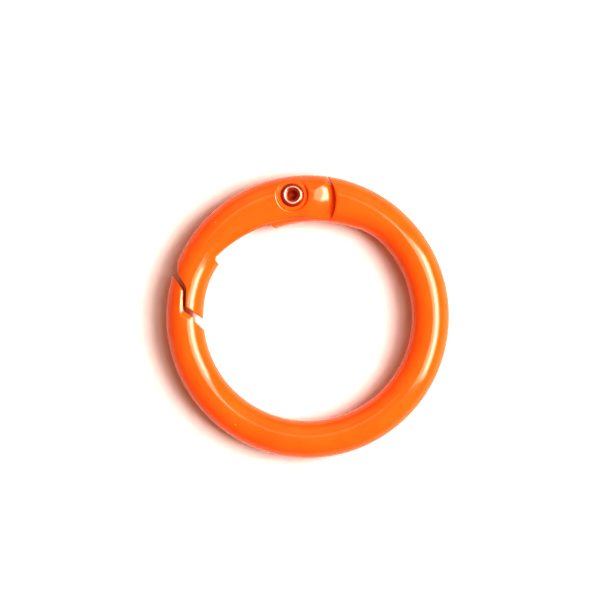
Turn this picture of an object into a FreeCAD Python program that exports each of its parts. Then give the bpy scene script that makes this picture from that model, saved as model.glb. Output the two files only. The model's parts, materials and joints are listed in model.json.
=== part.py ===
import FreeCAD, Part
import os
from math import acos, asin, atan2, cos, degrees, radians, sin, sqrt, tan

Vector = FreeCAD.Vector

# A round key ring with a sprung gate.  All sizes are in millimetres.
#
# The ring lies flat: its axis is Z and its centre, in the middle of the bar, is the origin.
# Seen from above (+Z) the gate closes the upper left quarter.  Its hinge is at the top, its nose
# at the left, and it swings inwards (anticlockwise about +Z).  Angles run anticlockwise from +X.

# ------------------------------------------------------------------------------- the round bar
OUTER_RADIUS = 17.0
BAR = 4.5                     # depth and thickness of the bar
HALF = BAR / 2
INNER_RADIUS = OUTER_RADIUS - BAR
ROUNDING = 2.15               # on the bar's long edges; leaves a 0.2 mm flat on each side

# ------------------------------------------------------------------------------------ the hinge
PIVOT_RADIUS = 14.65          # of the rivet's axis from the ring's centre
PIVOT_ANGLE = 97.2
OPEN_ANGLE = 30.0             # the gate's travel
SHOULDER_RADIUS = 5.10        # hollow end of the bar
SHOULDER_SHIFT = 0.60         # of its centre, inwards from the rivet's axis
HEEL_RADIUS = 4.72            # round end of the gate
HEEL_SHIFT = 0.33             # of its centre, inwards from the rivet's axis
CHANNEL_HALF = 1.35           # half the width between the gate's cheeks
CHANNEL_FLOOR = 16.2          # radius of the inside of the gate's back wall
TONGUE_HALF = 1.28            # half the tongue's thickness
TONGUE_GAP = 0.15             # between the tongue and the gate's back wall
TONGUE_TIP_ARC = 8.2          # degrees of the tongue's outer side that lie past the crest
TONGUE_TIP = Vector(-4.42, 10.97, 0)   # inner corner of the tongue's end
TONGUE_CHIN = Vector(-2.20, 9.11, 0)   # from the tip the end slants back towards this point
SLOT_HALF = 0.80              # half the width of the spring's slot in the tongue
SLOT_END_RADIUS = 1.5         # of the slot's round end, about the pivot

# ------------------------------------------------------------------------ the bar's inner swell
SWELL_RADIUS = 14.9           # of the tongue's and the cheeks' inner edges
TONGUE_SWELL_CENTRE = Vector(1.1, -3.5, 0)
CHEEK_SWELL_CENTRE = Vector(-0.37, -3.24, 0)
SWELL_BLEND = 8.0             # joins the swell to the ring's inner circle

# ------------------------------------------------------------------------------------- the gate
NOSE_ROUND_ANGLE = 165.0      # from here to the tip the gate's section is as round as the bar
NOSE_TAPER_RADIUS = 9.2       # the inner rounding leaves the inner circle on this radius
CROWN_RADIUS = 10.0           # of the cheeks, across the gate
CROWN_RISE = 0.01             # of the crown's top over the bar's flat
RAMP_RADIUS = 7.0             # the cheeks' fall towards the hinge end
RAMP_ANGLE = 89.0             # where that fall starts
STEP_OUT = Vector(-11.03, 7.10, 0)     # end of the cheeks' inner edge
STEP_MIDDLE = Vector(-11.03, 6.72, 0)
STEP_IN = Vector(-9.80, 5.22, 0)       # a point past the nose block's inner corner
CHANNEL_END = 148.0           # angle of the channel's blind end
CORNER_ROUND = 0.6            # of the heel's inner corner, in plan

# ------------------------------------------------------- the seam between the nose and the hook
HOOK_SEAM = [
    (-17.80, 6.95), (-14.91, 3.14), (-14.91, 0.72), (-13.72, -0.05), (-13.45, -0.72), (-10.90, -3.24)
]
HOOK_SEAM_ROUNDS = [0.25, 0.4, 0.3, 0.3]
NOSE_SEAM = [(-15.56, 9.0), (-15.56, 5.25), (-14.52, 3.42), (-14.62, 1.17), (-10.60, -1.33)]
NOSE_SEAM_ROUNDS = [0.4, 0.6, 0.35]

# ------------------------------------------------------------------------------------ the rivet
SHANK_RADIUS = 0.90
TONGUE_BORE = 0.96
CHEEK_BORE = 0.92
RECESS_RADIUS = 1.83
RECESS_DEPTH = 0.36
RIM_RADIUS = 1.42             # outside of the rolled end, and of the factory head
RIM_CREST = 0.95              # radius of the rolled end's top
RIVET_BORE = 0.55
RIVET_BORE_DEPTH = 2.2
RIVET_MOUTH = 0.76
RIVET_MOUTH_DEPTH = 0.20      # of the mouth below the rolled end's top
RIVET_FLARE_DEPTH = 0.77      # where the flared bore turns straight
DRILL_POINT = 0.2             # height of the bore's conical floor
HEAD_FLAT = 1.15              # radius of the factory head's flat top
HEAD_SIDE = 0.08              # height of the factory head's straight side
SUNK = 0.03                   # of the rivet's ends below the bar's flats
HEAD_BULGE = 0.055            # how far each turned curve stands out from its chord
RIM_BULGE = 0.10
LIP_BULGE = 0.06
FLARE_BULGE = 0.04

# ----------------------------------------------------------------------------------- the spring
WIRE = 0.4
COIL_RADIUS = 1.15            # to the middle of the wire
COIL_TURNS = 2.5
COIL_PITCH = 0.43
FIXED_LEG = 2.9
MOVING_LEG = 2.6
MOVING_LEG_ANGLE = 3.0        # of the leg on the gate towards the tongue
LEG_BEND = 0.3                # reach of the bend between the coil and each leg
SLOT_CLEARANCE = 0.03         # between the fixed leg and the slot's floor

# ---------------------------------------------------------------------- reach of the cutting tools
DEEP = 4.0                    # above and below the middle
INSIDE = 9.0                  # a radius inside all of the bar
OUTSIDE = 18.0                # a radius outside all of it
BEFORE_HEEL = 50.0            # an angle short of the gate's heel
TO_GATE = Vector(8, 8, 0)     # across the seam from the hook to the gate

ORIGIN = Vector(0, 0, 0)
UP = Vector(0, 0, 1)


def polar(centre, radius, angle):
    return centre + Vector(radius * cos(radians(angle)), radius * sin(radians(angle)), 0)


def heading(start, end):
    return degrees(atan2(end.y - start.y, end.x - start.x))


def line(start, end):
    return Part.LineSegment(start, end).toShape()


def arc(centre, radius, start, end):
    middle = (start + end) / 2
    ends = [polar(centre, radius, angle) for angle in (start, middle, end)]
    return Part.Arc(*ends).toShape()


def prism(edges, low, high):
    """The solid over a closed plan outline, from height low to height high."""
    face = Part.Face(Part.Wire(edges))
    face.translate(UP * low)
    return face.extrude(UP * (high - low))


def cylinder(centre, radius, low, high):
    return Part.makeCylinder(radius, high - low, centre + UP * low, UP)


def circles_meet(first, first_radius, second, second_radius, side):
    """The point where two circles cross, on the left (+1) or right (-1) of the line between them."""
    apart = first.distanceToPoint(second)
    opening = acos((first_radius ** 2 + apart ** 2 - second_radius ** 2) / (2 * first_radius * apart))
    return polar(first, first_radius, heading(first, second) + side * degrees(opening))


def rounded_path(points, rounds):
    """Straight runs through the points, with an arc of the given radius at each inner point."""
    points = [Vector(x, y, 0) for x, y in points]
    edges = []
    start = points[0]
    for before, corner, after, radius in zip(points, points[1:], points[2:], rounds):
        back = (before - corner).normalize()
        ahead = (after - corner).normalize()
        half_angle = back.getAngle(ahead) / 2
        reach = radius / abs(sin(half_angle)) * cos(half_angle)
        middle = corner + (back + ahead).normalize() * (radius / sin(half_angle) - radius)
        edges.append(line(start, corner + back * reach))
        edges.append(Part.Arc(corner + back * reach, middle, corner + ahead * reach).toShape())
        start = corner + ahead * reach
    edges.append(line(start, points[-1]))
    return edges


PIVOT = polar(ORIGIN, PIVOT_RADIUS, PIVOT_ANGLE)
ALONG = polar(ORIGIN, 1, PIVOT_ANGLE - 90)       # at the hinge, along the bar to the right
OUTWARD = polar(ORIGIN, 1, PIVOT_ANGLE)
HEEL_CENTRE = PIVOT - OUTWARD * HEEL_SHIFT


def at_hinge(along, outward, height=0):
    return PIVOT + ALONG * along + OUTWARD * outward + UP * height


def bulged(start, end, bulge):
    """In an upright profile that is drawn anticlockwise, an arc that stands out from its chord."""
    chord = end - start
    outward = Vector(chord.z, 0, -chord.x).normalize()
    return Part.Arc(start, (start + end) / 2 + outward * bulge, end).toShape()


def closed(edges, corners):
    """An outline's edges, and straight runs from their last point through the corners to the first."""
    stops = [edges[-1].lastVertex(True).Point, *corners, edges[0].firstVertex(True).Point]
    return edges + [line(start, end) for start, end in zip(stops, stops[1:])]


def beyond(seam, rounds, away):
    """All that lies across a seam, on the side that away points to."""
    corners = [Vector(*point, 0) + away for point in (seam[-1], seam[0])]
    return prism(closed(rounded_path(seam, rounds), corners), -DEEP, DEEP)


def block_beside_pivot(left):
    """A block that holds all of the bar's section from the pivot to one side of it."""
    side = 2 * SHOULDER_RADIUS
    corner = PIVOT - Vector(side if left else 0, SHOULDER_RADIUS, DEEP)
    return Part.makeBox(side, side, 2 * DEEP, corner)


def round_long_edges(bar):
    """Round the edges that run along the bar, above and below."""
    long_edges = [
        edge for edge in bar.Edges
        if abs(abs(edge.CenterOfMass.z) - HALF) < 1e-6 and edge.Curve.TypeId == "Part::GeomCircle"
    ]
    return bar.makeFillet(ROUNDING, long_edges)


def bar_blank():
    """The bar from the hook round to the tongue, before its ends are cut."""
    hook_end, tongue_end = -200.0, 116.0
    blend_centre = circles_meet(
        ORIGIN, INNER_RADIUS - SWELL_BLEND, TONGUE_SWELL_CENTRE, SWELL_RADIUS - SWELL_BLEND, 1
    )
    blend_start = heading(ORIGIN, blend_centre)
    blend_end = heading(TONGUE_SWELL_CENTRE, blend_centre)
    outline = [
        arc(ORIGIN, OUTER_RADIUS, hook_end, tongue_end),
        line(polar(ORIGIN, OUTER_RADIUS, tongue_end), polar(TONGUE_SWELL_CENTRE, SWELL_RADIUS, tongue_end)),
        arc(TONGUE_SWELL_CENTRE, SWELL_RADIUS, tongue_end, blend_end),
        arc(blend_centre, SWELL_BLEND, blend_end, blend_start),
        arc(ORIGIN, INNER_RADIUS, blend_start, hook_end),
        line(polar(ORIGIN, INNER_RADIUS, hook_end), polar(ORIGIN, OUTER_RADIUS, hook_end)),
    ]
    return round_long_edges(prism(outline, -HALF, HALF))


def tongue_plan():
    """The tongue's outline: its outer side clears the gate's back wall all the way to open."""
    root_angle = 60.0
    outer_radius = CHANNEL_FLOOR - TONGUE_GAP
    turned = FreeCAD.Rotation(UP, OPEN_ANGLE)
    turned_centre = PIVOT + turned.multVec(ORIGIN - PIVOT)
    crest_radius = outer_radius - PIVOT_RADIUS
    crest_end = polar(PIVOT, crest_radius, PIVOT_ANGLE + OPEN_ANGLE)
    tip_angle = heading(turned_centre, crest_end) + TONGUE_TIP_ARC
    edges = [
        arc(ORIGIN, outer_radius, root_angle, PIVOT_ANGLE),
        arc(PIVOT, crest_radius, PIVOT_ANGLE, PIVOT_ANGLE + OPEN_ANGLE),
        arc(turned_centre, outer_radius, PIVOT_ANGLE + OPEN_ANGLE, tip_angle),
    ]
    return closed(edges, [TONGUE_TIP, TONGUE_CHIN, polar(ORIGIN, INSIDE, root_angle)])


def spring_slot():
    """The slot in the tongue: open outwards and at the tip, with a round end past the coil."""
    floor = COIL_RADIUS + WIRE / 2 + SLOT_CLEARANCE
    end_start = PIVOT_ANGLE - 90 - degrees(asin(floor / SLOT_END_RADIUS))
    past = SHOULDER_RADIUS
    outline = closed(
        [arc(PIVOT, SLOT_END_RADIUS, end_start, PIVOT_ANGLE - 90)],
        [at_hinge(SLOT_END_RADIUS, past), at_hinge(-past, past), at_hinge(-past, -floor)],
    )
    return prism(outline, -SLOT_HALF, SLOT_HALF)


def ring_body():
    hinge_void = cylinder(at_hinge(0, -SHOULDER_SHIFT), SHOULDER_RADIUS, -DEEP, DEEP)
    hinge_void = hinge_void.fuse(block_beside_pivot(left=True))
    hinge_void = hinge_void.cut(prism(tongue_plan(), -TONGUE_HALF, TONGUE_HALF))
    body = bar_blank().cut(hinge_void).cut(beyond(HOOK_SEAM, HOOK_SEAM_ROUNDS, TO_GATE))
    return body.cut(spring_slot()).cut(cylinder(PIVOT, TONGUE_BORE, -DEEP, DEEP))


def gate_blank():
    """The bar of the gate before it is cut: round at the nose, flat-sided at the hinge."""
    nose_end, heel_out, heel_in = 190.0, 70.0, 60.0
    taper_centre = polar(ORIGIN, INNER_RADIUS - NOSE_TAPER_RADIUS, NOSE_ROUND_ANGLE)
    outline = [
        arc(ORIGIN, OUTER_RADIUS, heel_out, nose_end),
        line(polar(ORIGIN, OUTER_RADIUS, nose_end), polar(ORIGIN, INNER_RADIUS, nose_end)),
        arc(ORIGIN, INNER_RADIUS, nose_end, NOSE_ROUND_ANGLE),
        arc(taper_centre, NOSE_TAPER_RADIUS, NOSE_ROUND_ANGLE, heel_in),
        line(polar(taper_centre, NOSE_TAPER_RADIUS, heel_in), polar(ORIGIN, OUTER_RADIUS, heel_out)),
    ]
    return round_long_edges(prism(outline, -HALF, HALF))


def cheek_void():
    """What lies above the upper cheek: crowned across the gate, and falling towards the heel."""
    crest = Vector(OUTER_RADIUS - HALF, 0, HALF + CROWN_RISE)
    crown_sweep, ramp_sweep = 120.0, 45.0

    def crown_point(radius):
        drop = CROWN_RADIUS - sqrt(CROWN_RADIUS ** 2 - (radius - crest.x) ** 2)
        return Vector(radius, 0, crest.z - drop)

    section = Part.Wire([
        line(Vector(INSIDE, 0, 0), Vector(OUTSIDE, 0, 0)),
        line(Vector(OUTSIDE, 0, 0), crown_point(OUTSIDE)),
        Part.Arc(crown_point(OUTSIDE), crest, crown_point(INSIDE)).toShape(),
        line(crown_point(INSIDE), Vector(INSIDE, 0, 0)),
    ])
    section.rotate(ORIGIN, UP, RAMP_ANGLE)
    face = Part.Face(section)
    crown = face.revolve(ORIGIN, UP, crown_sweep)
    ramp = face.revolve(UP * (crest.z - RAMP_RADIUS), polar(ORIGIN, 1, RAMP_ANGLE), ramp_sweep)
    block = Part.makeBox(2 * OUTSIDE, 2 * OUTSIDE, DEEP, Vector(-OUTSIDE, -OUTSIDE, CHANNEL_HALF / 2))
    return block.cut(crown).cut(ramp)


def cheek_edge_void():
    """What lies inside the cheeks' inner edges, as far as the step to the solid nose."""
    step_angle = heading(CHEEK_SWELL_CENTRE, STEP_OUT)
    edges = [arc(CHEEK_SWELL_CENTRE, SWELL_RADIUS, BEFORE_HEEL, step_angle)]
    return prism(closed(edges, [STEP_MIDDLE, STEP_IN]), -DEEP, DEEP)


def round_heel_corner(solid):
    """Round the corner, on each cheek, between the heel and the cheek's inner edge."""
    corner = circles_meet(HEEL_CENTRE, HEEL_RADIUS, CHEEK_SWELL_CENTRE, SWELL_RADIUS, 1)
    upright = [
        edge for edge in solid.Edges
        if all((vertex.Point - corner).cross(UP).Length < SUNK for vertex in edge.Vertexes)
    ]
    return solid.makeFillet(CORNER_ROUND, upright)


def gate():
    channel_outline = closed(
        [arc(ORIGIN, CHANNEL_FLOOR, BEFORE_HEEL, CHANNEL_END)], [polar(ORIGIN, INSIDE, CHANNEL_END)]
    )
    heel = cylinder(HEEL_CENTRE, HEEL_RADIUS, -DEEP, DEEP)
    heel_void = block_beside_pivot(left=False).cut(heel)
    upper_void = cheek_void()
    solid = gate_blank().cut(upper_void).cut(upper_void.mirror(ORIGIN, UP)).cut(cheek_edge_void())
    solid = solid.cut(prism(channel_outline, -CHANNEL_HALF, CHANNEL_HALF)).cut(heel_void)
    solid = round_heel_corner(solid).cut(beyond(NOSE_SEAM, NOSE_SEAM_ROUNDS, TO_GATE * -1))
    for low in (HALF - RECESS_DEPTH, -HALF - DEEP):
        solid = solid.cut(cylinder(PIVOT, RECESS_RADIUS, low, low + RECESS_DEPTH + DEEP))
    return solid.cut(cylinder(PIVOT, CHEEK_BORE, -DEEP, DEEP))


def hinge_rivet():
    """A semi-tubular rivet: a flat factory head below, a rolled tubular end above."""
    seat = HALF - RECESS_DEPTH
    top = HALF - SUNK
    drilled = top - RIVET_BORE_DEPTH

    def at(radius, height):
        return Vector(radius, 0, height)

    mouth = at(RIVET_MOUTH, top - RIVET_MOUTH_DEPTH)
    flare_end = at(RIVET_BORE, top - RIVET_FLARE_DEPTH)
    profile = Part.Wire([
        line(at(0, -top), at(HEAD_FLAT, -top)),
        bulged(at(HEAD_FLAT, -top), at(RIM_RADIUS, -seat - HEAD_SIDE), HEAD_BULGE),
        line(at(RIM_RADIUS, -seat - HEAD_SIDE), at(RIM_RADIUS, -seat)),
        line(at(RIM_RADIUS, -seat), at(SHANK_RADIUS, -seat)),
        line(at(SHANK_RADIUS, -seat), at(SHANK_RADIUS, seat)),
        line(at(SHANK_RADIUS, seat), at(RIM_RADIUS, seat)),
        bulged(at(RIM_RADIUS, seat), at(RIM_CREST, top), RIM_BULGE),
        bulged(at(RIM_CREST, top), mouth, LIP_BULGE),
        bulged(mouth, flare_end, FLARE_BULGE),
        line(flare_end, at(RIVET_BORE, drilled + DRILL_POINT)),
        line(at(RIVET_BORE, drilled + DRILL_POINT), at(0, drilled)),
        line(at(0, drilled), at(0, -top)),
    ])
    rivet = Part.Face(profile).revolve(ORIGIN, UP, 360)
    rivet.translate(PIVOT)
    return rivet


def bend(start, start_way, end_way, reach):
    """An arc that turns a path from one direction to another, and the point where it ends."""
    half_turn = start_way.getAngle(end_way) / 2
    radius = reach / tan(half_turn)
    corner = start + start_way * reach
    end = corner + end_way * reach
    middle = corner + (end_way - start_way).normalize() * (radius / cos(half_turn) - radius)
    return Part.Arc(start, middle, end).toShape(), end


def torsion_spring():
    """A coil round the rivet.  Its lower leg bears on the slot's floor, its upper one on the gate."""
    rise = COIL_TURNS * COIL_PITCH
    helix = Part.makeHelix(COIL_PITCH, rise, COIL_RADIUS)
    helix.rotate(ORIGIN, UP, PIVOT_ANGLE - 180)
    helix.translate(PIVOT - UP * rise / 2)
    coil = helix.Edges[0]
    start_way = coil.tangentAt(coil.FirstParameter) * -1
    end_way = coil.tangentAt(coil.LastParameter)
    fixed_way = ALONG * -1
    moving_way = FreeCAD.Rotation(UP, MOVING_LEG_ANGLE).multVec(fixed_way)
    fixed_bend, fixed_root = bend(at_hinge(0, -COIL_RADIUS, -rise / 2), start_way, fixed_way, LEG_BEND)
    moving_bend, moving_root = bend(at_hinge(0, COIL_RADIUS, rise / 2), end_way, moving_way, LEG_BEND)
    fixed_tip = fixed_root + fixed_way * (FIXED_LEG - 2 * LEG_BEND)
    moving_tip = moving_root + moving_way * (MOVING_LEG - 2 * LEG_BEND)
    runs = [line(fixed_tip, fixed_root), fixed_bend, coil, moving_bend, line(moving_root, moving_tip)]
    path = Part.Wire(Part.__sortEdges__(runs))
    section = Part.Wire(Part.makeCircle(WIRE / 2, fixed_tip, ALONG))
    return path.makePipeShell([section], True, True)


nodes = {
    "ring_body": ring_body(),
    "gate": gate(),
    "hinge_rivet": hinge_rivet(),
    "torsion_spring": torsion_spring(),
}
os.makedirs("parts", exist_ok=True)
for name, shape in nodes.items():
    solid = shape.Solids[0]
    solid.exportStep(f"parts/{name}.step")
    print(name, "valid" if solid.isValid() else "NOT VALID", f"{solid.Volume:.2f} mm3")
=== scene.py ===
import json
from math import acos, asin, atan, atan2, cos, degrees, radians, sin, tan

import bpy
import numpy as np
from mathutils import Matrix, Vector


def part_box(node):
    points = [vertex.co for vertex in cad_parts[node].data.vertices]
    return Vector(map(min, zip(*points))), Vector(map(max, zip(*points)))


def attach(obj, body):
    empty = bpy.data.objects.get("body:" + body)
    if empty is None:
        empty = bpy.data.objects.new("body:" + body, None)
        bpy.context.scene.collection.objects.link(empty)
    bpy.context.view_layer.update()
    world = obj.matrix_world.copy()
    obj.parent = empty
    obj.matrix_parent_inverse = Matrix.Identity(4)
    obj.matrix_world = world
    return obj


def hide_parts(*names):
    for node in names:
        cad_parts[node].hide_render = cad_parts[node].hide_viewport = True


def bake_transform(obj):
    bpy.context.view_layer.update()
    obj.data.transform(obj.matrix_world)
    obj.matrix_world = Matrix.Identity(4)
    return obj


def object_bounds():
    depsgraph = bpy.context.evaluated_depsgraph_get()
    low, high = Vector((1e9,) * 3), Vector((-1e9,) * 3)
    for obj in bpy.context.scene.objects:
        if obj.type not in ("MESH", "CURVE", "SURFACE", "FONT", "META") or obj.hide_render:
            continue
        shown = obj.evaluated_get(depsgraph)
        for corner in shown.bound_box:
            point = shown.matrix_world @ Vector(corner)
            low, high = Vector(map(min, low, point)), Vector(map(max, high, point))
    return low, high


# A round spring-gate key ring in glossy orange enamel, lying flat.
#
# The two castings, the rivet and the spring are modelled again here with what the enamel and the
# tools give them: soft edges, filled corners, a rolled rivet end.  Each casting is a distance
# field, negative inside, and its mesh is the field's zero level.  Shapes are in millimetres.

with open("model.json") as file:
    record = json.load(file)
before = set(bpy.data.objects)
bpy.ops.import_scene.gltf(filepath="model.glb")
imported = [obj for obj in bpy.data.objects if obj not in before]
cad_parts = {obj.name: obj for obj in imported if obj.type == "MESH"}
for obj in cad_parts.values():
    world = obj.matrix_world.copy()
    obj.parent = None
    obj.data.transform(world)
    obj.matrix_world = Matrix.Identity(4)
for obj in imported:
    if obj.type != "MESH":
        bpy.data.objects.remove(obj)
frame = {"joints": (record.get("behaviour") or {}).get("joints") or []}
cad_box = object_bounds()
MM = 0.001

# ------------------------------------------------------------------------------- driving sizes
ring_low, ring_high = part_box("ring_body")
hinge = frame["joints"][0]

OUTER_RADIUS = round(ring_high.x / MM, 1)
HALF = round(ring_high.z / MM, 2)
INNER_RADIUS = OUTER_RADIUS - 2 * HALF
MIDDLE_RADIUS = OUTER_RADIUS - HALF
ROUNDING = 2.15               # of the bar's long edges
ORIGIN = np.zeros(2)

PIVOT = np.array(hinge["pos_m"][:2]) / MM
PIVOT_ANGLE = degrees(atan2(PIVOT[1], PIVOT[0]))
PIVOT_RADIUS = float(np.hypot(*PIVOT))
OPEN_ANGLE = hinge["range_deg"][1]
SHOULDER_RADIUS = 5.10
SHOULDER_SHIFT = 0.60
HEEL_RADIUS = 4.72
HEEL_SHIFT = 0.33
HEEL_CORNER = 0.65            # rounding of the heel's inner corner, in plan
CHANNEL_HALF = 1.35
CHANNEL_FLOOR = 16.2
CHANNEL_END = 148.0
TONGUE_HALF = 1.28
TONGUE_GAP = 0.15
TONGUE_TIP_ARC = 8.2
TONGUE_TIP = (-4.42, 10.97)
TONGUE_CHIN = (-2.20, 9.11)
SLOT_HALF = 0.80
SLOT_END_RADIUS = 1.5
TONGUE_ROOT_ANGLE = 60        # where the tongue's outline starts, inside the bar
INSIDE = 9                    # a radius inside all of the bar
BEFORE_HEEL = 50              # an angle short of the gate's heel

SWELL_RADIUS = 14.9
TONGUE_SWELL_CENTRE = np.array([1.1, -3.5])
CHEEK_SWELL_CENTRE = np.array([-0.37, -3.24])
SWELL_BLEND = 8.0
NOSE_ROUND_ANGLE = 165.0
NOSE_TAPER_RADIUS = 9.2
CROWN_RADIUS = 10.0
CROWN_RISE = 0.01
HEEL_CROWN_RADIUS = 4.5       # the crown tightens to this down the ramp at the heel
HEEL_RAMP = 1.9
RAMP_RADIUS = 7.0
RAMP_ANGLE = 89.0
STEP_OUT = (-11.03, 7.10)
STEP_MIDDLE = (-11.03, 6.72)
STEP_IN = (-9.80, 5.22)
HOOK_SEAM = [
    (-17.80, 6.95), (-14.91, 3.14), (-14.91, 0.72), (-13.72, -0.05), (-13.45, -0.72), (-10.90, -3.24)
]
HOOK_SEAM_ROUNDS = [0.25, 0.4, 0.3, 0.3]
NOSE_SEAM = [(-15.56, 9.0), (-15.56, 5.25), (-14.52, 3.42), (-14.62, 1.17), (-10.60, -1.33)]
NOSE_SEAM_ROUNDS = [0.4, 0.6, 0.35]
TO_GATE = np.array([8.0, 8.0])

TONGUE_BORE = 0.96
CHEEK_BORE = 0.92
RECESS_RADIUS = 1.83
RECESS_DEPTH = 0.36

WIRE = 0.4
COIL_RADIUS = 1.15
COIL_TURNS = 2.5
COIL_PITCH = 0.43
FIXED_LEG = 2.9
MOVING_LEG = 2.6
MOVING_LEG_ANGLE = 3.0
LEG_BEND = 0.3
SLOT_CLEARANCE = 0.03         # between the fixed leg and the slot's floor

# what the enamel does to the castings' edges
HEEL_EDGE = 0.20              # on the gate's cut edges, along its two faces
SHOULDER_EDGE = 0.30
SIDE_EDGE = 0.04              # on cut edges, round the bar's sides
SEAM_EDGE = 0.16              # where the nose meets the hook
SEAM_DRAFT = 0.06             # how far the seam's cast walls lean together, per mm of depth
HEEL_DRAFT = 0.05
LIP_WIDTH = 0.62              # of the bevel along the hook's seam
LIP_SLOPE = 0.31
RECESS_EDGE = 0.28
BEVEL = 0.34                  # along the cheeks' edges
BEVEL_EDGE = 0.07
FINE_EDGE = 0.12              # round the rivet's recess and inside the hinge
FILLED = 0.15                 # in inner corners

BOX_MARGIN = 0.6              # how near an outline's box its distance has to be exact


# ------------------------------------------------------------------------------- plan geometry
def polar(centre, radius, angle):
    return np.array([centre[0] + radius * cos(radians(angle)), centre[1] + radius * sin(radians(angle))])


def heading(start, end):
    return degrees(atan2(end[1] - start[1], end[0] - start[0]))


def arc(centre, radius, start, end):
    """Points along an arc, about 1.5 degrees apart."""
    count = max(3, int(abs(end - start) / 1.5) + 2)
    return [polar(centre, radius, angle) for angle in np.linspace(start, end, count)]


def circles_meet(first, first_radius, second, second_radius):
    """Where two circles cross, on the left of the line from the first centre to the second."""
    apart = float(np.hypot(*(np.array(second) - first)))
    opening = acos((first_radius ** 2 + apart ** 2 - second_radius ** 2) / (2 * first_radius * apart))
    return polar(first, first_radius, heading(first, second) + degrees(opening))


def rounded_path(points, rounds):
    """Straight runs through the points, with an arc of the given radius at each inner point."""
    points = [np.array(point) for point in points]
    path = [points[0]]
    for before, corner, after, radius in zip(points, points[1:], points[2:], rounds):
        back = (before - corner) / np.hypot(*(before - corner))
        ahead = (after - corner) / np.hypot(*(after - corner))
        half_angle = acos(float(np.clip(back @ ahead, -1, 1))) / 2
        middle = (back + ahead) / np.hypot(*(back + ahead))
        centre = corner + middle * radius / sin(half_angle)
        start = heading(centre, corner + back * radius / tan(half_angle))
        end = heading(centre, corner + ahead * radius / tan(half_angle))
        turn = (end - start + 180) % 360 - 180
        path += [polar(centre, radius, start + turn * share) for share in np.linspace(0, 1, 7)]
    return path + [points[-1]]


def beyond(seam, rounds, away):
    """The outline of all that lies across a seam, on the side that away points to."""
    return rounded_path(seam, rounds) + [np.array(seam[-1]) + away, np.array(seam[0]) + away]


ALONG = polar(ORIGIN, 1, PIVOT_ANGLE - 90)
OUTWARD = polar(ORIGIN, 1, PIVOT_ANGLE)


def at_hinge(along, outward):
    return PIVOT + ALONG * along + OUTWARD * outward


# ----------------------------------------------------------------------------- distance fields
def disc(x, y, centre, radius):
    return np.hypot(x - centre[0], y - centre[1]) - radius


def plate(z, half):
    return np.abs(z) - half


def outline_nearby(x, y, points):
    nearest = np.full(x.shape, np.inf)
    inside = np.zeros(x.shape, bool)
    for (ax, ay), (bx, by) in zip(points, points[1:] + points[:1]):
        run_x, run_y = bx - ax, by - ay
        share = ((x - ax) * run_x + (y - ay) * run_y) / (run_x ** 2 + run_y ** 2)
        share = np.clip(share, 0, 1)
        nearest = np.minimum(nearest, (x - ax - share * run_x) ** 2 + (y - ay - share * run_y) ** 2)
        if ay != by:
            inside ^= ((ay > y) != (by > y)) & (x < ax + (y - ay) * run_x / run_y)
    return np.where(inside, -1, 1) * np.sqrt(nearest)


def outline(x, y, points):
    """Distance to a closed outline, negative inside it.  Away from its box the box's will do."""
    low, high = np.min(points, axis=0), np.max(points, axis=0)
    beside = np.maximum(low[0] - x, x - high[0])
    distance = np.maximum(beside, np.maximum(low[1] - y, y - high[1]))
    near = distance < BOX_MARGIN
    distance[near] = outline_nearby(x[near], y[near], points)
    return distance


def overlap(first, second, radius):
    """What two fields share, with the outer edge between them rounded."""
    rounded = np.hypot(np.maximum(first + radius, 0), np.maximum(second + radius, 0))
    return np.minimum(np.maximum(first, second), -radius) + rounded


def join(first, second, radius):
    """Two fields together, with the inner corner between them filled."""
    return -overlap(-first, -second, radius)


def cut(solid, void, radius):
    """A field less another, with the edges of the cut rounded."""
    return overlap(solid, -void, radius)


BLEND_CENTRE = circles_meet(
    ORIGIN, INNER_RADIUS - SWELL_BLEND, TONGUE_SWELL_CENTRE, SWELL_RADIUS - SWELL_BLEND
)
BLEND_START = heading(ORIGIN, BLEND_CENTRE)
BLEND_END = heading(TONGUE_SWELL_CENTRE, BLEND_CENTRE)
SWELL_END = 150.0             # past the tongue's tip, about the blend's centre


def edge_at(z, face_edge):
    """The rounding of a cut edge, which is softest on the two faces."""
    return SIDE_EDGE + (face_edge - SIDE_EDGE) * np.clip(np.abs(z) / HALF, 0, 1) ** 4


def draft(z, slope):
    """How far a cast wall stands out at a height: nothing at the two faces, most half way down."""
    return slope * np.clip(HALF - np.abs(z), 0, HALF)


def body_bar(x, y, z):
    """The ring's bar all the way round, swelling inwards towards the tongue."""
    about_blend = np.degrees(np.arctan2(y - BLEND_CENTRE[1], x - BLEND_CENTRE[0]))
    inner = -disc(x, y, ORIGIN, INNER_RADIUS)
    blended = -disc(x, y, BLEND_CENTRE, SWELL_BLEND)
    swollen = -disc(x, y, TONGUE_SWELL_CENTRE, SWELL_RADIUS)
    inner = np.where((about_blend > BLEND_START) & (about_blend < SWELL_END), blended, inner)
    inner = np.where((about_blend > BLEND_END) & (about_blend < SWELL_END), swollen, inner)
    plan = np.maximum(disc(x, y, ORIGIN, OUTER_RADIUS), inner)
    return overlap(plan, plate(z, HALF), ROUNDING)


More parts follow.
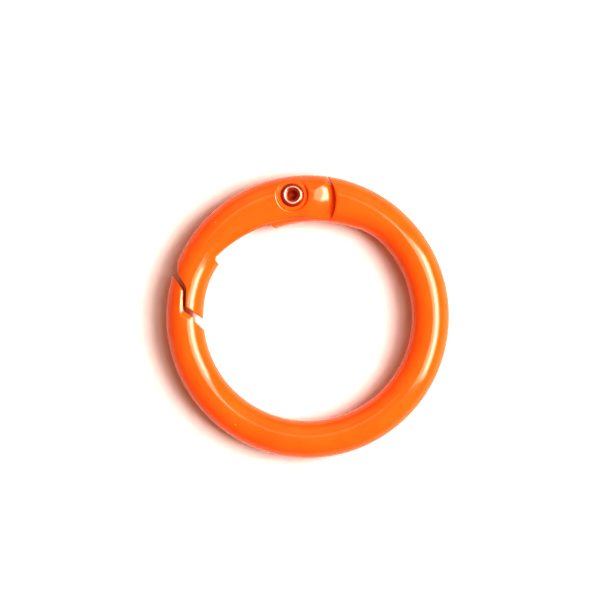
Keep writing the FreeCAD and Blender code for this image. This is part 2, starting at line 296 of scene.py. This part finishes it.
def tongue_outline():
    outer_radius = CHANNEL_FLOOR - TONGUE_GAP
    crest_radius = outer_radius - PIVOT_RADIUS
    turned_centre = polar(PIVOT, PIVOT_RADIUS, PIVOT_ANGLE + 180 + OPEN_ANGLE)
    crest_end = polar(PIVOT, crest_radius, PIVOT_ANGLE + OPEN_ANGLE)
    tip_start = heading(turned_centre, crest_end)
    points = arc(ORIGIN, outer_radius, TONGUE_ROOT_ANGLE, PIVOT_ANGLE)
    points += arc(PIVOT, crest_radius, PIVOT_ANGLE, PIVOT_ANGLE + OPEN_ANGLE)[1:]
    points += arc(turned_centre, outer_radius, tip_start, tip_start + TONGUE_TIP_ARC)[1:]
    root = polar(ORIGIN, INSIDE, TONGUE_ROOT_ANGLE)
    return points + [np.array(TONGUE_TIP), np.array(TONGUE_CHIN), root]


def slot_outline():
    floor = COIL_RADIUS + WIRE / 2 + SLOT_CLEARANCE
    end_start = PIVOT_ANGLE - 90 - degrees(asin(floor / SLOT_END_RADIUS))
    past = SHOULDER_RADIUS
    corners = [at_hinge(SLOT_END_RADIUS, past), at_hinge(-past, past), at_hinge(-past, -floor)]
    return arc(PIVOT, SLOT_END_RADIUS, end_start, PIVOT_ANGLE - 90) + corners


TONGUE_OUTLINE = tongue_outline()
SLOT_OUTLINE = slot_outline()
HOOK_VOID = beyond(HOOK_SEAM, HOOK_SEAM_ROUNDS, TO_GATE)
NOSE_VOID = beyond(NOSE_SEAM, NOSE_SEAM_ROUNDS, -TO_GATE)
SHOULDER_CENTRE = at_hinge(0, -SHOULDER_SHIFT)
HEEL_CENTRE = at_hinge(0, -HEEL_SHIFT)


def ring_body_field(x, y, z):
    bar = body_bar(x, y, z)
    left_of_pivot = np.maximum(x - PIVOT[0], PIVOT[1] - SHOULDER_RADIUS - y)
    hinge_void = np.minimum(disc(x, y, SHOULDER_CENTRE, SHOULDER_RADIUS), left_of_pivot)
    hinge_void = hinge_void + draft(z, HEEL_DRAFT)
    tongue = overlap(outline(x, y, TONGUE_OUTLINE), plate(z, TONGUE_HALF), FINE_EDGE)
    tongue = overlap(tongue, bar, FINE_EDGE)
    body = join(cut(bar, hinge_void, edge_at(z, SHOULDER_EDGE)), tongue, FILLED)
    from_seam = outline(x, y, HOOK_VOID)
    lip = (np.abs(z) - HALF + LIP_SLOPE * (LIP_WIDTH - from_seam)) * cos(atan(LIP_SLOPE))
    body = cut(overlap(body, lip, SIDE_EDGE), from_seam + draft(z, SEAM_DRAFT), SIDE_EDGE)
    slot = overlap(outline(x, y, SLOT_OUTLINE), plate(z, SLOT_HALF), FINE_EDGE)
    body = cut(body, slot, FINE_EDGE)
    return cut(body, disc(x, y, PIVOT, TONGUE_BORE), FINE_EDGE)


TAPER_CENTRE = polar(ORIGIN, INNER_RADIUS - NOSE_TAPER_RADIUS, NOSE_ROUND_ANGLE)
STEP_ANGLE = heading(CHEEK_SWELL_CENTRE, STEP_OUT)
CHEEK_EDGE_VOID = arc(CHEEK_SWELL_CENTRE, SWELL_RADIUS, BEFORE_HEEL, STEP_ANGLE)
CHEEK_EDGE_VOID += [np.array(STEP_MIDDLE), np.array(STEP_IN)]


def gate_bar(x, y, z):
    """The gate's bar: as round as the ring at the nose, thicker inwards towards the hinge."""
    turned = y * cos(radians(NOSE_ROUND_ANGLE)) - x * sin(radians(NOSE_ROUND_ANGLE))
    round_inner = -disc(x, y, ORIGIN, INNER_RADIUS)
    tapered = -disc(x, y, TAPER_CENTRE, NOSE_TAPER_RADIUS)
    inner = np.where(turned > 0, round_inner, tapered)
    plan = np.maximum(disc(x, y, ORIGIN, OUTER_RADIUS), inner)
    return overlap(plan, plate(z, HALF), ROUNDING)


def cheeks(x, y, z):
    """Both crowned faces: an arc across the gate, which falls away towards the heel."""
    top = HALF + CROWN_RISE
    height = np.abs(z)
    along = x * cos(radians(RAMP_ANGLE)) + y * sin(radians(RAMP_ANGLE))
    past = np.maximum(x * sin(radians(RAMP_ANGLE)) - y * cos(radians(RAMP_ANGLE)), 0)
    ramp_middle = top - RAMP_RADIUS
    unbent = ramp_middle + np.hypot(past, height - ramp_middle)
    reach = np.where(past > 0, along, np.hypot(x, y))
    crown = CROWN_RADIUS + (HEEL_CROWN_RADIUS - CROWN_RADIUS) * np.clip(past / HEEL_RAMP, 0, 1)
    return np.hypot(reach - MIDDLE_RADIUS, unbent - (top - crown)) - crown


def gate_field(x, y, z):
    faces = cheeks(x, y, z)
    crown = np.maximum(gate_bar(x, y, z), faces)
    heel = np.minimum(disc(x, y, HEEL_CENTRE, HEEL_RADIUS) - draft(z, HEEL_DRAFT), x - PIVOT[0])
    plan = overlap(heel, -outline(x, y, CHEEK_EDGE_VOID), HEEL_CORNER)
    gate = overlap(crown, plan, edge_at(z, HEEL_EDGE))
    bevel = (plan + faces + BEVEL) * cos(radians(45))
    gate = overlap(gate, bevel, BEVEL_EDGE)
    blind_end = y * cos(radians(CHANNEL_END)) - x * sin(radians(CHANNEL_END))
    channel = overlap(disc(x, y, ORIGIN, CHANNEL_FLOOR), blind_end, FILLED)
    channel = overlap(channel, plate(z, CHANNEL_HALF), FILLED)
    gate = cut(gate, channel, FINE_EDGE)
    gate = cut(gate, outline(x, y, NOSE_VOID) + draft(z, SEAM_DRAFT), SEAM_EDGE)
    recess = np.maximum(disc(x, y, PIVOT, RECESS_RADIUS), HALF - RECESS_DEPTH - np.abs(z))
    gate = cut(gate, recess, RECESS_EDGE)
    return cut(gate, disc(x, y, PIVOT, CHEEK_BORE), FINE_EDGE / 2)


# -------------------------------------------------------------------------------------- meshes
def steps(*stretches):
    """Values along stretches of (start, end, spacing)."""
    runs = [np.arange(start, end, spacing) for start, end, spacing in stretches]
    return np.concatenate(runs)


def gradient(field, points, value):
    """The field's slope at points where it has the given values."""
    reach = 0.004
    slopes = [field(*(points + step).T) - value for step in np.eye(3) * reach]
    return np.stack(slopes, axis=1) / reach


FLATTEST = 0.05               # the least slope, squared, that a step is worked out from
LONGEST_STEP = 0.1


def settle(field, points, rounds):
    """Moves points on to the field's zero level."""
    for _ in range(rounds):
        value = field(*points.T)
        slope = gradient(field, points, value)
        size = np.maximum((slope ** 2).sum(1), FLATTEST)
        points = points - slope * np.clip(value / size, -LONGEST_STEP, LONGEST_STEP)[:, None]
    return points


def relax(points, quads):
    """Moves each point halfway to the middle of its neighbours."""
    total = np.zeros_like(points)
    count = np.zeros(len(points))
    for side in range(4):
        start, end = quads[:, side], quads[:, (side + 1) % 4]
        for here, there in ((start, end), (end, start)):
            for axis in range(3):
                total[:, axis] += np.bincount(here, points[there, axis], len(points))
            count += np.bincount(here, minlength=len(points))
    return (points + total / count[:, None]) / 2


def surface(field, angles, radii, heights):
    """Points, quads and normals on a field's zero level, from samples on a round grid."""
    turn = np.radians(angles)[:, None, None]
    grid_x = radii[None, :, None] * np.cos(turn)
    grid_y = radii[None, :, None] * np.sin(turn)
    grid_z = heights[None, None, :]
    value = field(grid_x, grid_y, grid_z) + np.zeros((len(angles), len(radii), len(heights)))
    shape = value.shape
    where = [np.broadcast_to(part, shape) for part in (grid_x, grid_y, grid_z)]

    cells = tuple(size - 1 for size in shape)
    total = np.zeros(cells + (3,))
    count = np.zeros(cells)
    for axis in range(3):
        low = tuple(slice(0, -1) if k == axis else slice(None) for k in range(3))
        high = tuple(slice(1, None) if k == axis else slice(None) for k in range(3))
        crossed = (value[low] < 0) != (value[high] < 0)
        gap = np.where(crossed, value[low] - value[high], 1)
        share = value[low] / gap
        across = [k for k in range(3) if k != axis]
        for first in (0, 1):
            for second in (0, 1):
                window = [slice(None)] * 3
                window[across[0]] = slice(first, first + cells[across[0]])
                window[across[1]] = slice(second, second + cells[across[1]])
                window = tuple(window)
                hit = crossed[window]
                count += hit
                for k in range(3):
                    place = where[k][low] + share * (where[k][high] - where[k][low])
                    total[..., k] += np.where(hit, place[window], 0)

    full = count > 0
    number = np.full(cells, -1)
    number[full] = np.arange(full.sum())
    points = total[full] / count[full][:, None]
    quads = []
    for axis in range(3):
        low = tuple(slice(0, -1) if k == axis else slice(1, -1) for k in range(3))
        high = tuple(slice(1, None) if k == axis else slice(1, -1) for k in range(3))
        first_in, second_in = value[low] < 0, value[high] < 0
        side, other = [(1, 2), (2, 0), (0, 1)][axis]
        around = []
        for back_side, back_other in ((1, 1), (0, 1), (0, 0), (1, 0)):
            window = [slice(None)] * 3
            window[side] = slice(0, -1) if back_side else slice(1, None)
            window[other] = slice(0, -1) if back_other else slice(1, None)
            around.append(number[tuple(window)])
        around = np.stack(around, axis=-1)
        quads.append(around[first_in & ~second_in][:, ::-1])
        quads.append(around[~first_in & second_in])
    quads = np.concatenate(quads)
    points = settle(field, points, 3)
    for _ in range(3):
        points = settle(field, relax(points, quads), 2)
    normals = gradient(field, points, field(*points.T))
    return points, quads, normals / np.linalg.norm(normals, axis=1)[:, None]


def mesh_piece(name, points, faces, material, normals=None):
    mesh = bpy.data.meshes.new(name)
    mesh.from_pydata((np.array(points) * MM).tolist(), [], [list(map(int, face)) for face in faces])
    mesh.materials.append(material)
    mesh.shade_smooth()
    if normals is not None:
        mesh.normals_split_custom_set_from_vertices(normals.tolist())
    piece = bpy.data.objects.new(name, mesh)
    bpy.context.scene.collection.objects.link(piece)
    return piece


GRID = 0.095
GRID_RADII = (10.5, 17.3)     # the samples reach clear of the bar all round
GRID_HEIGHTS = (-2.41, 2.50)
RADII = steps((*GRID_RADII, GRID))
HEIGHTS = steps((*GRID_HEIGHTS, GRID))
SMOOTH_TURN = 1.0             # degrees between samples along the plain bar
FINE_TURN = degrees(GRID / MIDDLE_RADIUS)
HOOK_ANGLES = (-202, -166)    # the fine stretches: by the seam, by the hinge, and all of the gate
HINGE_ANGLES = (60, 112)
GATE_ANGLES = (74, 184)


def ring_body_piece(material):
    plain_bar = (HOOK_ANGLES[1], HINGE_ANGLES[0], SMOOTH_TURN)
    angles = steps((*HOOK_ANGLES, FINE_TURN), plain_bar, (*HINGE_ANGLES, FINE_TURN))
    points, quads, normals = surface(ring_body_field, angles, RADII, HEIGHTS)
    return mesh_piece("ring_body_enamelled", points, quads, material, normals)


def gate_piece(material):
    points, quads, normals = surface(gate_field, steps((*GATE_ANGLES, FINE_TURN)), RADII, HEIGHTS)
    return mesh_piece("gate_enamelled", points, quads, material, normals)


# ----------------------------------------------------------------------------------- the rivet
SHANK_RADIUS = 0.90
RIM_RADIUS = 1.42
RIM_SHOULDER = 1.10
RIVET_MOUTH = 0.82
RIVET_BORE = 0.55
POOL_DEPTH = 1.0              # of the bore, down to the enamel pooled in it
POOL_SAG = -0.16              # of the pooled enamel's surface, below its chord
HEAD_FLAT = 1.15
HEAD_SIDE = 0.08              # height of the factory head's straight side
SHOULDER_FALL = 0.05          # depths below the rolled end's top
MOUTH_FALL = 0.07
BORE_FALL = 0.22
SUNK = 0.03
MOUTH_SHIFT = 0.09            # the rolled mouth is off centre, away from the nose
MOUTH_WAY = 50.0
ROLLING_MARKS = [(3, 0.010, 0.7), (5, 0.006, 2.1), (11, 0.004, 0.0)]   # lobes, depth, shift


def bulged(start, end, bulge, count=10):
    """Points on a curve that stands out from its chord, without the last one."""
    start, end = np.array(start), np.array(end)
    out = np.array([end[1] - start[1], start[0] - end[0]]) / np.hypot(*(end - start))
    return [start + (end - start) * t + out * 4 * bulge * t * (1 - t) for t in np.arange(count) / count]


def rivet_profile():
    """Radius and height from the middle of the factory head to the enamel in the bore."""
    seat = HALF - RECESS_DEPTH
    top = HALF - SUNK
    profile = bulged((0, -top), (HEAD_FLAT, -top), 0, 6)
    profile += bulged((HEAD_FLAT, -top), (RIM_RADIUS, -seat - HEAD_SIDE), 0.055)
    profile += [(RIM_RADIUS, -seat - HEAD_SIDE), (RIM_RADIUS - 0.04, -seat), (SHANK_RADIUS, -seat)]
    profile += [(SHANK_RADIUS, seat), (RIM_RADIUS - 0.05, seat)]
    profile += bulged((RIM_RADIUS, seat + 0.05), (RIM_SHOULDER, top - SHOULDER_FALL), 0.035)
    profile += bulged((RIM_SHOULDER, top - SHOULDER_FALL), (RIVET_MOUTH, top - MOUTH_FALL), 0.055, 14)
    profile += bulged((RIVET_MOUTH, top - MOUTH_FALL), (RIVET_BORE, top - BORE_FALL), 0.025)
    profile += bulged((RIVET_BORE, top - BORE_FALL), (0, top - POOL_DEPTH), POOL_SAG, 12)
    return profile + [(0, top - POOL_DEPTH)]


def hinge_rivet_piece(material):
    """The profile turned about the rivet's axis, uneven where the rolling tool closed it."""
    sides = 120
    turn = np.arange(sides) * 2 * np.pi / sides
    lobes = sum(depth * np.sin(count * turn + shift) for count, depth, shift in ROLLING_MARKS)
    points, faces = [], []
    profile = rivet_profile()
    for radius, height in profile[1:-1]:
        rolled = np.clip((height - HALF + RECESS_DEPTH) / RECESS_DEPTH, 0, 1)
        reach = radius + lobes * rolled
        lift = np.minimum(height + 0.6 * np.roll(lobes, 9) * rolled, HALF - SUNK)
        inward = np.clip((RIM_RADIUS - radius) / (RIM_RADIUS - RIVET_MOUTH), 0, 1)
        off_centre = MOUTH_SHIFT * inward * rolled
        middle = polar(PIVOT, off_centre, MOUTH_WAY)
        points += list(zip(middle[0] + reach * np.cos(turn), middle[1] + reach * np.sin(turn), lift))
    for ring in range(len(profile) - 3):
        for side in range(sides):
            here, there = ring * sides + side, ring * sides + (side + 1) % sides
            faces.append((here, there, there + sides, here + sides))
    for (_, height), first, way in ((profile[0], 0, -1), (profile[-1], len(points) - sides, 1)):
        points.append((*PIVOT, height))
        for side in range(sides):
            edge = (first + side, first + (side + 1) % sides)[::way]
            faces.append((*edge, len(points) - 1))
    return mesh_piece("hinge_rivet_rolled", points, faces, material)


# ---------------------------------------------------------------------------------- the spring
def bent(corner, start, end, count=8):
    """A smooth bend from start to end, drawn towards their corner."""
    shares = np.linspace(0, 1, count)
    return [start * (1 - t) ** 2 + corner * 2 * t * (1 - t) + end * t ** 2 for t in shares]


def spring_path():
    """The middle of the wire: leg on the slot's floor, coil round the rivet, leg on the gate."""
    rise = COIL_TURNS * COIL_PITCH
    turn = np.radians(PIVOT_ANGLE - 180 + np.linspace(0, COIL_TURNS, 180) * 360)
    ring = PIVOT[:, None] + COIL_RADIUS * np.array([np.cos(turn), np.sin(turn)])
    coil = list(np.column_stack([*ring, np.linspace(-rise / 2, rise / 2, len(turn))]))
    fixed_way = np.array([*-ALONG, 0])
    moving_way = np.array([*polar(ORIGIN, 1, PIVOT_ANGLE + 90 + MOVING_LEG_ANGLE), 0])
    legs = []
    for root, inner, way, length in (
        (coil[0], coil[6], fixed_way, FIXED_LEG), (coil[-1], coil[-7], moving_way, MOVING_LEG)
    ):
        legs.append([root + way * length] + bent(root, root + way * LEG_BEND, inner))
    return legs[0] + coil[7:-7] + legs[1][::-1]


def torsion_spring_piece(material):
    curve = bpy.data.curves.new("spring_wire_path", "CURVE")
    curve.dimensions = "3D"
    curve.bevel_depth = WIRE / 2 * MM
    curve.bevel_resolution = 5
    curve.use_fill_caps = True
    path = spring_path()
    spline = curve.splines.new("POLY")
    spline.points.add(len(path) - 1)
    for point, place in zip(spline.points, path):
        point.co = (*(place * MM), 1)
    wire = bpy.data.objects.new("spring_wire_path", curve)
    bpy.context.scene.collection.objects.link(wire)
    bpy.context.view_layer.update()
    mesh = bpy.data.meshes.new_from_object(wire.evaluated_get(bpy.context.evaluated_depsgraph_get()))
    bpy.data.objects.remove(wire)
    mesh.materials.clear()
    mesh.materials.append(material)
    mesh.shade_smooth()
    piece = bpy.data.objects.new("torsion_spring_wire", mesh)
    bpy.context.scene.collection.objects.link(piece)
    return piece


# ----------------------------------------------------------------------------------- materials
class Nodes:
    """A material's node tree, built by name."""

    def __init__(self, name):
        self.material = bpy.data.materials.new(name)
        self.material.use_nodes = True
        self.tree = self.material.node_tree
        self.shader = self.tree.nodes["Principled BSDF"]

    def add(self, kind, inputs=None, **settings):
        node = self.tree.nodes.new("ShaderNode" + kind)
        for key, value in settings.items():
            setattr(node, key, value)
        self.feed(node, inputs or {})
        return node

    def feed(self, node, inputs):
        for key, value in inputs.items():
            if isinstance(value, bpy.types.NodeSocket):
                self.tree.links.new(value, node.inputs[key])
            else:
                node.inputs[key].default_value = value

    def ramp(self, factor, stops):
        node = self.add("ValToRGB", {"Fac": factor})
        while len(node.color_ramp.elements) < len(stops):
            node.color_ramp.elements.new(0.5)
        for element, (place, shade) in zip(node.color_ramp.elements, stops):
            element.position = place
            element.color = (*shade, 1)
        return node.outputs["Color"]

    def mix(self, factor, first, second):
        node = self.add("Mix", data_type="RGBA")
        self.feed(node, {0: factor, 6: first, 7: second})
        return node.outputs[2]


ORANGE = (0.94, 0.160, 0.012)
DEEP_ORANGE = (0.90, 0.141, 0.009)
DARK_SPECK = (0.16, 0.02, 0.004)
PALE_SPECK = (1.0, 0.42, 0.16)
RED_LACQUER = (0.38, 0.050, 0.014, 1)
# bright copper painted on the rivet's crest as a highlight
CREST_HIGHLIGHT_COPPER = (0.90, 0.48, 0.36, 1)


def enamel(name):
    """Thick glossy enamel: a trace of flow, uneven depth of colour, a few specks of dust."""
    nodes = Nodes(name)
    place = nodes.add("TexCoord").outputs["Object"]
    depth = nodes.add("TexNoise", {"Vector": place, "Scale": 260, "Detail": 3}).outputs["Fac"]
    colour = nodes.ramp(depth, [(0.35, DEEP_ORANGE), (0.62, ORANGE)])
    dust = nodes.add("TexVoronoi", {"Vector": place, "Scale": 330, "Randomness": 1.0})
    spot = nodes.ramp(dust.outputs["Distance"], [(0.020, (1, 1, 1)), (0.034, (0, 0, 0))])
    kind = nodes.ramp(dust.outputs["Color"], [(0.45, DARK_SPECK), (0.55, PALE_SPECK)])
    colour = nodes.mix(spot, colour, kind)
    flow = nodes.add("TexNoise", {"Vector": place, "Scale": 480, "Detail": 1.5, "Roughness": 0.4})
    fine = nodes.add("TexNoise", {"Vector": place, "Scale": 5200, "Detail": 2})
    relief = nodes.add("Bump", {"Height": flow.outputs["Fac"], "Strength": 1.0, "Distance": 1.5e-5})
    relief = nodes.add("Bump", {
        "Height": fine.outputs["Fac"], "Strength": 1.0, "Distance": 2e-7, "Normal": relief.outputs[0],
    })
    rough = nodes.ramp(fine.outputs["Fac"], [(0.3, (0.20,) * 3), (0.7, (0.30,) * 3)])
    nodes.feed(nodes.shader, {
        "Base Color": colour, "Roughness": rough, "Normal": relief.outputs[0],
        "Coat Normal": relief.outputs[0], "Coat Weight": 1.0, "Coat Roughness": 0.11, "Coat IOR": 1.48,
        "Specular IOR Level": 0.05,
    })
    return nodes.material


def lacquered_metal(name):
    """The rivet: dark red lacquer, with a painted highlight of bright copper along the crest of its
    rolled rim.
    """
    nodes = Nodes(name)
    place = nodes.add("TexCoord").outputs["Object"]
    wear_and_highlight_noise = nodes.add("TexNoise", {"Vector": place, "Scale": 1500, "Detail": 3}).outputs["Fac"]
    height = nodes.add("SeparateXYZ", {"Vector": place}).outputs["Z"]
    level = nodes.add("Math", {0: wear_and_highlight_noise, 1: 0.05 * MM, 2: height}, operation="MULTIPLY_ADD").outputs[0]
    crest = (HALF - SUNK) * MM
    # painted highlight: the colour turns to bright copper near the top of the rolled rim, by height,
    # with a noisy edge
    crest_highlight = nodes.add("MapRange", {
        "Value": level, "From Min": crest - 0.022 * MM, "From Max": crest + 0.01 * MM,
    })
    colour = nodes.mix(crest_highlight.outputs[0], RED_LACQUER, CREST_HIGHLIGHT_COPPER)
    rough = nodes.ramp(wear_and_highlight_noise, [(0.3, (0.20,) * 3), (0.7, (0.32,) * 3)])
    relief = nodes.add("Bump", {"Height": wear_and_highlight_noise, "Strength": 1.0, "Distance": 1e-6})
    nodes.feed(nodes.shader, {
        "Base Color": colour, "Metallic": 0.35, "Roughness": rough, "Normal": relief.outputs[0],
        "Coat Weight": 0.4, "Coat Roughness": 0.12, "Specular IOR Level": 0.3,
    })
    return nodes.material


def drawn_wire(name):
    """Bright spring wire with the fine marks of the drawing die."""
    nodes = Nodes(name)
    place = nodes.add("TexCoord").outputs["Object"]
    marks = nodes.add("TexNoise", {"Vector": place, "Scale": 9000, "Detail": 3}).outputs["Fac"]
    colour = nodes.ramp(marks, [(0.3, (0.42, 0.42, 0.43)), (0.7, (0.62, 0.62, 0.63))])
    rough = nodes.ramp(marks, [(0.3, (0.18,) * 3), (0.7, (0.34,) * 3)])
    relief = nodes.add("Bump", {"Height": marks, "Strength": 1.0, "Distance": 1e-6})
    nodes.feed(nodes.shader, {
        "Base Color": colour, "Metallic": 1.0, "Roughness": rough, "Normal": relief.outputs[0],
    })
    return nodes.material


# ------------------------------------------------------------------------- floor, light, camera
FLOOR_HALF = 1.5
SHADOW_TINT = (1.0, 0.30, 0.12, 1)     # the floor glows this colour very faintly, to tint the shadows
SHADOW_TINT_STRENGTH = 0.14


def lay_floor():
    """A plain pale table under the ring, clear when seen from below."""
    half = FLOOR_HALF
    height = cad_box[0].z
    mesh = bpy.data.meshes.new("floor")
    mesh.from_pydata(
        [(-half, -half, height), (half, -half, height), (half, half, height), (-half, half, height)],
        [], [(0, 1, 2, 3)],
    )
    nodes = Nodes("floor_paper")
    grain = nodes.add("TexNoise", {"Scale": 900, "Detail": 2}).outputs["Fac"]
    nodes.feed(nodes.shader, {
        "Base Color": nodes.ramp(grain, [(0.3, (0.665, 0.655, 0.645)), (0.7, (0.705, 0.695, 0.685))]),
        "Roughness": 0.9, "Specular IOR Level": 0.1,
        "Emission Color": SHADOW_TINT, "Emission Strength": SHADOW_TINT_STRENGTH,
    })
    clear = nodes.add("BsdfTransparent")
    facing = nodes.add("NewGeometry")
    sided = nodes.add("MixShader")
    nodes.feed(sided, {0: facing.outputs["Backfacing"], 1: nodes.shader.outputs[0], 2: clear.outputs[0]})
    nodes.feed(nodes.tree.nodes["Material Output"], {"Surface": sided.outputs[0]})
    mesh.materials.append(nodes.material)
    floor = bpy.data.objects.new("floor", mesh)
    bpy.context.scene.collection.objects.link(floor)


def light_panel(name, foot, head, width, radiance):
    """A rectangular white light between the middles of its lower and upper edges, facing the object."""
    foot, head = Vector(foot), Vector(head)
    up = (head - foot).normalized()
    back = ((foot + head) / 2 - up * ((foot + head) / 2).dot(up)).normalized()
    light = bpy.data.lights.new(name, "AREA")
    light.shape = "RECTANGLE"
    light.size = width
    light.size_y = (head - foot).length
    light.energy = radiance * np.pi * light.size * light.size_y
    lamp = bpy.data.objects.new(name, light)
    turned = Matrix([up.cross(back), up, back]).transposed().to_4x4()
    lamp.matrix_world = Matrix.Translation((foot + head) / 2) @ turned
    bpy.context.scene.collection.objects.link(lamp)


def warm_room():
    """A dim warm room above the floor, and plain pale light below it."""
    world = bpy.data.worlds.new("room")
    world.use_nodes = True
    nodes, links = world.node_tree.nodes, world.node_tree.links
    way = nodes.new("ShaderNodeTexCoord")
    split = nodes.new("ShaderNodeSeparateXYZ")
    halves = nodes.new("ShaderNodeValToRGB")
    halves.color_ramp.elements[0].position = 0.0
    halves.color_ramp.elements[0].color = (0.80, 0.80, 0.80, 1)
    halves.color_ramp.elements[1].position = 0.01
    halves.color_ramp.elements[1].color = (0.40, 0.230, 0.160, 1)
    links.new(way.outputs["Generated"], split.inputs[0])
    links.new(split.outputs["Z"], halves.inputs["Fac"])
    links.new(halves.outputs["Color"], nodes["Background"].inputs["Color"])
    return world


PICTURE_GAMMA = 0.72          # under 1, for more contrast


def set_lights():
    light_panel("window_light", (0.58, 0.0, 0.41), (0.27, 0.12, 1.69), 0.62, 7.0)
    light_panel("window_middle", (0.54, 0.01, 0.50), (0.44, 0.05, 0.90), 0.56, 10.5)
    light_panel("back_glow", (0.02, 0.36, 0.85), (0.04, 0.15, 1.0), 0.50, 1.5)
    light_panel("far_wall", (0.0, 1.5, 0.5), (0.0, 1.1, 1.5), 1.8, 0.45)
    bpy.context.scene.world = warm_room()
    bpy.context.scene.view_settings.view_transform = "Standard"
    bpy.context.scene.view_settings.gamma = PICTURE_GAMMA


VIEW_CENTRE = (-0.913 * MM, 1.994 * MM)
VIEW_WIDTH = 72.08 * MM       # of the picture, at the middle of the bar
VIEW_HEIGHT = 0.40


def set_camera():
    data = bpy.data.cameras.new("overhead")
    data.sensor_width = 36
    data.lens = data.sensor_width * VIEW_HEIGHT / VIEW_WIDTH
    data.clip_start = 0.01
    camera = bpy.data.objects.new("overhead", data)
    camera.location = (*VIEW_CENTRE, VIEW_HEIGHT)
    bpy.context.scene.collection.objects.link(camera)
    bpy.context.scene.camera = camera


# ------------------------------------------------------------------------------------ assembly
orange_enamel = enamel("orange_enamel")

ring_body = ring_body_piece(orange_enamel)
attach(ring_body, "ring")
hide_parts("ring_body")

gate = gate_piece(orange_enamel)
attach(gate, "gate")
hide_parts("gate")

hinge_rivet = hinge_rivet_piece(lacquered_metal("rivet_lacquer"))
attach(hinge_rivet, "gate")
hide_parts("hinge_rivet")

torsion_spring = torsion_spring_piece(drawn_wire("spring_steel"))
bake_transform(torsion_spring)
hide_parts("torsion_spring")

lay_floor()
set_lights()
set_camera()
